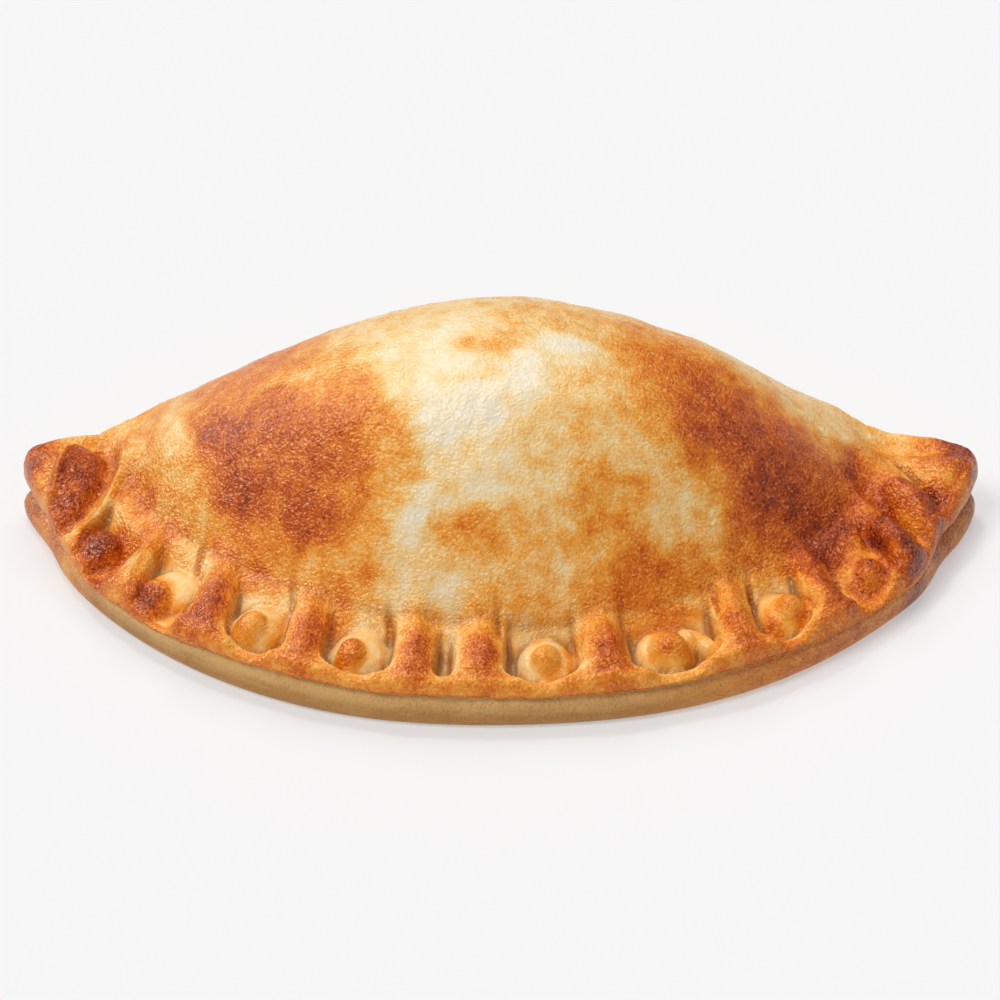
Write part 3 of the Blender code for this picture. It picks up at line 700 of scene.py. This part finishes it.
def browning(points, edge):
    """Each point's browning (1 is nearly burnt), rawness, freedom from blisters, and painted shade in a
    hollow.
    """
    x, y, z = points.T
    drift_x = stroke_drift(points, 3)
    drift_up = stroke_drift(points, 5)
    across = x + drift_x
    up = y * sin(radians(STROKE_VIEW)) + z * cos(radians(STROKE_VIEW)) + drift_up
    hollow = hollowness(points) * smooth(0.85, 1.0, edge)
    level = np.full(len(x), BASE_BROWNING)
    for stroke in STROKES:
        turn = radians(stroke.turn)
        long_way = ((across - stroke.x) * cos(turn) + (up - stroke.up) * sin(turn)) / stroke.long
        short_way = ((up - stroke.up) * cos(turn) - (across - stroke.x) * sin(turn)) / stroke.wide
        level = paint(level, np.hypot(long_way, short_way), stroke.brown, stroke.soft)

    angle, inset = rim_polar(x, y)
    pressed, _, _, knobs, creases = crimping(angle, inset)
    pocketed = smooth(*POCKET_LOOK, pressed)
    wobble_angle = angle + RIM_DRIFT_SHARE * drift_x
    wobble_inset = inset + RIM_DRIFT_SHARE * drift_up
    lip = LIP_BROWNING + (RIGHT_LIP_BROWNING - LIP_BROWNING) * smooth(20, 36, angle)
    level = level + (lip - level) * smooth(3.6, 1.6, wobble_inset) * smooth(20, 14, y)
    level = paint_rim(level, wobble_angle, wobble_inset, RIM_STROKES)
    level = level + (POCKET_BROWNING - level) * pocketed
    level = paint_rim(level, wobble_angle, wobble_inset, KNOB_STROKES)
    level = np.maximum(level, CREASE_BROWNING * smooth(0.3, 1.0, creases))
    crimped = smooth(16, 11, inset) * smooth(24, 16, y)
    # Hollows get browner, partly as painted shade, and edges outside the pockets paler, as a painted
    # highlight
    hollow_browning_and_shade = HOLLOW_BROWNING_AND_SHADE * np.clip(hollow, 0, 1)
    painted_edge_highlights = PAINTED_EDGE_HIGHLIGHT * np.clip(hollow, -1, 0) * (1 - pocketed)
    level = level + crimped * (hollow_browning_and_shade + painted_edge_highlights)
    seam = smooth(0.10, 0.0, np.abs(edge - 0.56)) * smooth(28, 18, y)
    level = level + (SEAM_BROWNING - level) * seam

    raw = smooth(0.56, 0.48, edge) * smooth(28, 18, y)
    raw = np.maximum(raw, smooth(0.30, 0.10, edge))
    raw = raw * (1 - 0.75 * np.maximum(smooth(8, 36, angle), smooth(-44, -62, angle)))
    calm = np.maximum(pocketed, 0.7 * smooth(4.0, 2.4, inset))
    calm = calm * smooth(28, 18, y)
    # Where the material paints shade into the crimping's hollows, away from the knobs
    hollow = np.clip(hollow, 0, 1) * crimped * (1 - smooth(0.5, 1.5, knobs))
    return np.clip(level, 0, 1), raw, calm, hollow


def store(mesh, name, values):
    """Keeps one value for each point on the mesh, for the material to read."""
    attribute = mesh.attributes.new(name, "FLOAT", "POINT")
    attribute.data.foreach_set("value", values.astype(np.float32))


# Materials


def linear(colour):
    """The scene-linear colour for an sRGB one of 0 to 255."""
    share = np.array(colour) / 255
    value = np.where(share <= 0.04045, share / 12.92, ((share + 0.055) / 1.055) ** 2.4)
    return (*value.tolist(), 1)


def math_node(tree, operation, first, second, clamp=False):
    """Two values or sockets put together, kept within 0 and 1 if clamped."""
    made = tree.nodes.new("ShaderNodeMath")
    made.operation = operation
    made.use_clamp = clamp
    for socket, value in zip(made.inputs, (first, second)):
        if isinstance(value, (int, float)):
            socket.default_value = value
        else:
            tree.links.new(value, socket)
    return made.outputs[0]


def noise_node(tree, place, size, detail, roughness, distortion=0.0):
    """Noise with bumps of about that size in millimetres."""
    made = tree.nodes.new("ShaderNodeTexNoise")
    settings = {"Scale": 1000 / size, "Detail": detail, "Roughness": roughness, "Distortion": distortion}
    for name, setting in settings.items():
        made.inputs[name].default_value = setting
    tree.links.new(place, made.inputs["Vector"])
    return made.outputs["Fac"]


def attribute_node(tree, name):
    """A value stored on the mesh."""
    made = tree.nodes.new("ShaderNodeAttribute")
    made.attribute_name = name
    return made.outputs["Fac"]


def range_node(tree, value, from_low, from_high, to_low, to_high):
    """The value carried from one range to another."""
    made = tree.nodes.new("ShaderNodeMapRange")
    limits = {"From Min": from_low, "From Max": from_high, "To Min": to_low, "To Max": to_high}
    for name, limit in limits.items():
        made.inputs[name].default_value = limit
    tree.links.new(value, made.inputs["Value"])
    return made.outputs[0]


def mix_node(tree, share, first, second):
    """A colour mix. Sockets 6 and 7 are its two colours."""
    made = tree.nodes.new("ShaderNodeMix")
    made.data_type = "RGBA"
    tree.links.new(share, made.inputs["Factor"])
    for socket, colour in ((made.inputs[6], first), (made.inputs[7], second)):
        if isinstance(colour, tuple):
            socket.default_value = linear(colour)
        else:
            tree.links.new(colour, socket)
    return made.outputs[2]


def colour_ramp(tree, level):
    """The crust's colour for how brown it is."""
    ramp = tree.nodes.new("ShaderNodeValToRGB")
    ramp.color_ramp.interpolation = "LINEAR"
    stops = ramp.color_ramp.elements
    while len(stops) < len(CRUST_COLOURS):
        stops.new(0.5)
    for stop, (position, colour) in zip(stops, CRUST_COLOURS):
        stop.position = position
        stop.color = linear(colour)
    tree.links.new(level, ramp.inputs["Fac"])
    return ramp.outputs["Color"]


def raw_dough_colour(tree, place):
    """The lower layer's colour, darker at the foot as painted shade where it turns under, with flat
    streaks.
    """
    flattened = tree.nodes.new("ShaderNodeVectorMath")
    flattened.operation = "MULTIPLY"
    flattened.inputs[1].default_value = (1, 1, STREAK_FLATNESS)
    tree.links.new(place, flattened.inputs[0])
    streaks = noise_node(tree, flattened.outputs[0], STREAK_SIZE, 3, 0.5)
    streaks = math_node(tree, "MULTIPLY", math_node(tree, "SUBTRACT", streaks, 0.5), STREAK_SHARE)
    foot_shade_and_streaks = math_node(tree, "ADD", attribute_node(tree, "foot"), streaks, True)
    return mix_node(tree, foot_shade_and_streaks, RAW_DOUGH, RAW_FOOT_SHADE)


def crust_bump(tree, brown, blistered, blisters, mottle):
    """The blisters and the broader mottling as bumps, strongest where the crust is brown."""
    bump = tree.nodes.new("ShaderNodeBump")
    bump.inputs["Distance"].default_value = BUMP_DEPTH
    strength = range_node(tree, brown, 0.2, 0.7, 0.5, 1.0)
    strength = math_node(tree, "MULTIPLY", strength, math_node(tree, "ADD", blistered, 0.4, True))
    tree.links.new(strength, bump.inputs["Strength"])
    height = math_node(tree, "ADD", blisters, math_node(tree, "MULTIPLY", mottle, MOTTLE_BUMP))
    tree.links.new(height, bump.inputs["Height"])
    return bump.outputs["Normal"]


def crust_material():
    material = bpy.data.materials.new("baked_crust")
    material.use_nodes = True
    tree = material.node_tree
    shader = tree.nodes["Principled BSDF"]
    place = tree.nodes.new("ShaderNodeTexCoord").outputs["Object"]
    brown = attribute_node(tree, "browning")
    raw = attribute_node(tree, "raw")
    unbrowned = math_node(tree, "SUBTRACT", 1.0, range_node(tree, brown, 0.45, 0.72, 0, 1))
    calm = math_node(tree, "MULTIPLY", attribute_node(tree, "calm"), unbrowned)
    blistered = math_node(tree, "SUBTRACT", 1.0, calm)

    # Small blisters, paler on top and browner between as painted highlight and shade, more so on browner
    # crust
    blisters = noise_node(tree, place, BLISTER_SIZE, 1, 0.4, 0.5)
    mottle = noise_node(tree, place, MOTTLE_SIZE, 2, 0.5)
    contrast = range_node(tree, brown, 0.15, 0.7, BLISTER_SHADING_ON_PALE, BLISTER_SHADING_ON_BROWN)
    contrast = math_node(tree, "MULTIPLY", contrast, math_node(tree, "ADD", blistered, 0.35, True))
    painted_blister_light_and_shade = math_node(tree, "MULTIPLY", math_node(tree, "SUBTRACT", 0.5, blisters), contrast)
    mottle_share = math_node(tree, "MULTIPLY", math_node(tree, "SUBTRACT", mottle, 0.5), MOTTLE_SHARE)
    level = math_node(tree, "ADD", brown, math_node(tree, "ADD", painted_blister_light_and_shade, mottle_share), True)

    # The blister tops are paler still as a painted glint; unbrowned hollows of the crimping get painted
    # shade
    tips = range_node(tree, blisters, 0.60, 0.72, 0, PAINTED_GLINT_SHARE)
    tips = math_node(tree, "MULTIPLY", tips, blistered)
    crust = mix_node(tree, tips, colour_ramp(tree, level), PAINTED_GLINT_COLOUR)
    # Painted shade: the unbrowned hollows of the crimping are mixed towards a dull brown
    shade = math_node(tree, "MULTIPLY", attribute_node(tree, "hollow"), PAINTED_HOLLOW_SHADE_SHARE)
    shade = math_node(tree, "MULTIPLY", shade, unbrowned)
    crust = mix_node(tree, shade, crust, PAINTED_HOLLOW_SHADE_COLOUR)
    colour = mix_node(tree, raw, crust, raw_dough_colour(tree, place))
    tree.links.new(colour, shader.inputs["Base Color"])

    # The egg wash shines, most where it browned, and the raw dough under the lip is dull
    gloss = range_node(tree, level, 0.1, 0.9, 0.32, 0.18)
    roughness = math_node(tree, "ADD", gloss, math_node(tree, "MULTIPLY", raw, 0.2))
    tree.links.new(roughness, shader.inputs["Roughness"])
    tree.links.new(crust_bump(tree, brown, blistered, blisters, mottle), shader.inputs["Normal"])
    shader.inputs["Specular IOR Level"].default_value = 0.5
    shader.inputs["Specular Tint"].default_value = SPECULAR_TINT
    return material


# The room, light and camera

CAMERA_ELEVATION = 35
CAMERA_DISTANCE = 0.6
CAMERA_TARGET = (0, -0.0003, 0.0162)
PIXELS_PER_METRE = 957 / 0.140
PICTURE_PIXELS = 1000
SENSOR_WIDTH = 36
FLOOR_SIZE = 6
FLOOR_SHADE = 0.5
FLOOR_GLOW = 0.41
WORLD_STRENGTH = 0.20

# Suns, each with its angular width in degrees and the direction it shines from. A sheen sun shows in the
# gloss alone
Sun = namedtuple("Sun", "name strength width direction sheen_only")
SUNS = [
    Sun("key", 1.5, 24, (-0.42, -0.38, 0.82), False),
    Sun("back", 1.1, 50, (0.0, 0.5, 0.86), False),
    Sun("glints", 0.45, 6, (-0.15, 0.3, 0.94), False),
    Sun("left_sheen", 2.6, 36, (-0.74, 0.40, 0.54), True),
    Sun("right_sheen", 0.5, 14, (0.80, 0.05, 0.60), True),
]


def make_floor():
    """A plain pale floor that glows a little, so that the shadow on it is faint."""
    bpy.ops.mesh.primitive_plane_add(size=FLOOR_SIZE)
    floor = bpy.context.object
    floor.name = "floor"
    material = bpy.data.materials.new("pale_floor")
    material.use_nodes = True
    shader = material.node_tree.nodes["Principled BSDF"]
    shader.inputs["Base Color"].default_value = (FLOOR_SHADE, FLOOR_SHADE, FLOOR_SHADE, 1)
    shader.inputs["Emission Color"].default_value = (1, 1, 1, 1)
    shader.inputs["Emission Strength"].default_value = FLOOR_GLOW
    shader.inputs["Roughness"].default_value = 0.9
    shader.inputs["Specular IOR Level"].default_value = 0.0
    floor.data.materials.append(material)


def make_light():
    world = bpy.data.worlds.new("studio")
    world.use_nodes = True
    background = world.node_tree.nodes["Background"]
    background.inputs["Color"].default_value = (1, 1, 1, 1)
    background.inputs["Strength"].default_value = WORLD_STRENGTH
    bpy.context.scene.world = world
    for sun in SUNS:
        light = bpy.data.lights.new(sun.name, "SUN")
        light.energy = sun.strength
        light.angle = radians(sun.width)
        lamp = bpy.data.objects.new(sun.name, light)
        lamp.rotation_euler = Vector(sun.direction).to_track_quat("Z", "Y").to_euler()
        lamp.visible_diffuse = not sun.sheen_only
        bpy.context.scene.collection.objects.link(lamp)


def make_camera():
    tilt = radians(CAMERA_ELEVATION)
    back = Vector((0, -cos(tilt), sin(tilt)))
    data = bpy.data.cameras.new("camera")
    data.sensor_width = SENSOR_WIDTH
    data.lens = SENSOR_WIDTH * PIXELS_PER_METRE * CAMERA_DISTANCE / PICTURE_PIXELS
    data.clip_start = 0.01
    camera = bpy.data.objects.new("camera", data)
    camera.location = Vector(CAMERA_TARGET) + back * CAMERA_DISTANCE
    camera.rotation_euler = back.to_track_quat("Z", "Y").to_euler()
    bpy.context.scene.collection.objects.link(camera)
    bpy.context.scene.camera = camera


def main():
    bpy.context.scene.view_settings.view_transform = "Standard"
    body, points, edge = make_body()
    roughen(body, points)
    level, raw, calm, hollow = browning(points, edge)
    store(body.data, "browning", level)
    store(body.data, "raw", raw)
    store(body.data, "calm", calm)
    store(body.data, "hollow", hollow)
    # Towards the foot, where the lower layer gets painted shade
    store(body.data, "foot", smooth(0.46, 0.22, edge))
    body.data.materials.append(crust_material())
    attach(body, "root")
    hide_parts("empanada")
    make_floor()
    make_light()
    make_camera()


main()
